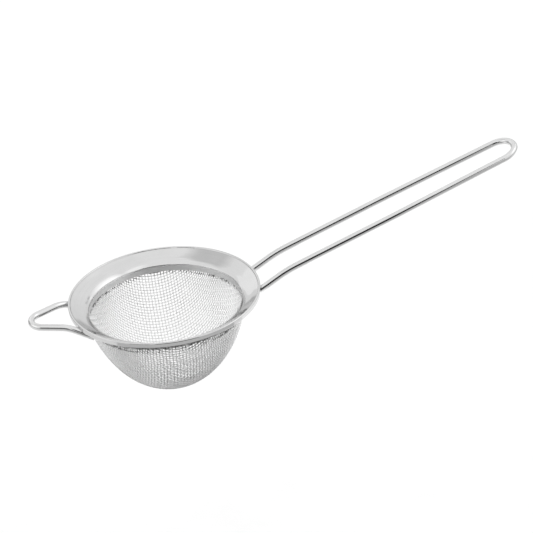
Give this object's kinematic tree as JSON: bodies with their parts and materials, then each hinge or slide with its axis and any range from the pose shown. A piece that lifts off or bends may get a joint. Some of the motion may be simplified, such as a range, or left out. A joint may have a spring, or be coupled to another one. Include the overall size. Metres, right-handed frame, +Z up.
{
  "type": "tea strainer",
  "caption": "Round tea strainer: woven wire bowl in a sloping sheet brim, long looped wire handle on one side and a short wire rest on the other.",
  "frame": {"origin": "centre of the bowl's open mouth, in the plane of the brim's top edge", "axes": "+Z up out of the bowl along its axis; +X from the bowl towards the handle's closed end"},
  "size_m": [0.2132, 0.08, 0.0792],
  "materials": {
    "brim": "satin stainless sheet",
    "backing": "satin stainless sheet",
    "mesh": "drawn stainless wire, plain weave",
    "handle_wire": "polished stainless wire",
    "rest_wire": "polished stainless wire"
  },
  "bodies": {
    "root": {"brim_ring": "brim", "backing_ring": "backing", "mesh_bowl": "mesh", "handle_wire": "handle_wire", "rest_wire": "rest_wire"}
  },
  "joints": []
}
